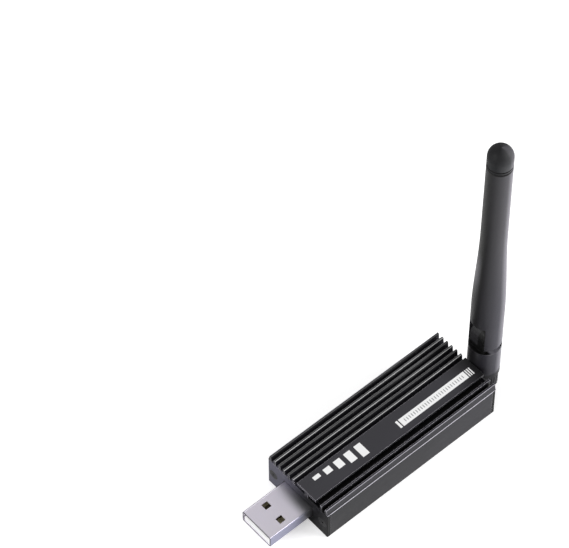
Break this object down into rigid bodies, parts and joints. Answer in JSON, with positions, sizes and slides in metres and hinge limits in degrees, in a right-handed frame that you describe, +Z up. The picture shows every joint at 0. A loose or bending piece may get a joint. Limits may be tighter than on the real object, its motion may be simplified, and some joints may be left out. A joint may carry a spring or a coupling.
{
  "type": "smart home usb radio stick",
  "caption": "Usb radio stick with a finned metal housing, a flat plug at the front and a whip antenna that swivels and tilts at the rear.",
  "frame": {"origin": "centre of the housing's flat underside", "axes": "+X across the width, +Y from the plug towards the antenna, +Z up along the whip"},
  "size_m": [0.0254, 0.0906, 0.1101],
  "materials": {
    "anodised_aluminium": "satin dark anodised, extruded",
    "plate_aluminium": "satin dark anodised sheet",
    "plug_steel": "nickel plated, satin",
    "plug_plastic": "white moulded",
    "contact_gold": "gold plated",
    "board_laminate": "dark solder mask",
    "chip_black": "moulded epoxy",
    "can_metal": "plain lid",
    "ceramic": "fired ceramic",
    "resistor_black": "glazed",
    "led_lens": "milky",
    "switch_case": "stamped cover",
    "switch_plunger": "moulded",
    "screw_black": "black oxide",
    "jack_brass": "gold plated",
    "insulator_white": "fluoropolymer",
    "nut_black": "black plated",
    "antenna_plastic": "satin moulded",
    "antenna_cap_plastic": "satin moulded",
    "radiator_brass": "bare"
  },
  "bodies": {
    "stick": {"housing": "anodised_aluminium", "front_end_plate": "plate_aluminium", "rear_end_plate": "plate_aluminium", "front_plate_screws": "screw_black", "rear_plate_screws": "screw_black", "usb_shell": "plug_steel", "usb_plug_body": "plug_plastic", "usb_contact_power": "contact_gold", "usb_contact_data_minus": "contact_gold", "usb_contact_data_plus": "contact_gold", "usb_contact_ground": "contact_gold", "circuit_board": "board_laminate", "radio_chip": "chip_black", "usb_bridge_chip": "chip_black", "radio_crystal": "can_metal", "clock_crystal": "can_metal", "status_leds": "led_lens", "voltage_regulator": "chip_black", "capacitors": "ceramic", "resistors": "resistor_black", "boot_switch_case": "switch_case", "reset_switch_case": "switch_case", "antenna_jack_body": "jack_brass", "jack_insulator": "insulator_white", "jack_contact": "contact_gold", "coupling_nut": "nut_black"},
    "elbow": {"antenna_elbow": "antenna_plastic", "elbow_cap": "antenna_cap_plastic", "antenna_ferrule": "jack_brass", "antenna_insulator": "insulator_white", "antenna_pin": "contact_gold"},
    "whip": {"antenna_sleeve": "antenna_plastic", "antenna_tip_cap": "antenna_cap_plastic", "antenna_radiator": "radiator_brass"},
    "boot_button": {"boot_switch_button": "switch_plunger"},
    "reset_button": {"reset_switch_button": "switch_plunger"}
  },
  "joints": [
    {"name": "antenna_swivel", "type": "hinge", "parent": "stick", "child": "elbow", "pos_m": [0.0021, 0.0377, 0.0055], "axis": [0, 1, 0], "continuous": true},
    {"name": "antenna_tilt", "type": "hinge", "parent": "elbow", "child": "whip", "pos_m": [0.0021, 0.0377, 0.0243], "axis": [-1, 0, 0], "range_deg": [0, 90]},
    {"name": "boot_press", "type": "slide", "parent": "stick", "child": "boot_button", "axis": [0, 0, -1], "range_m": [0, 0.00025], "stiffness_N_per_m": 3000},
    {"name": "reset_press", "type": "slide", "parent": "stick", "child": "reset_button", "axis": [0, 0, -1], "range_m": [0, 0.00025], "stiffness_N_per_m": 3000}
  ]
}
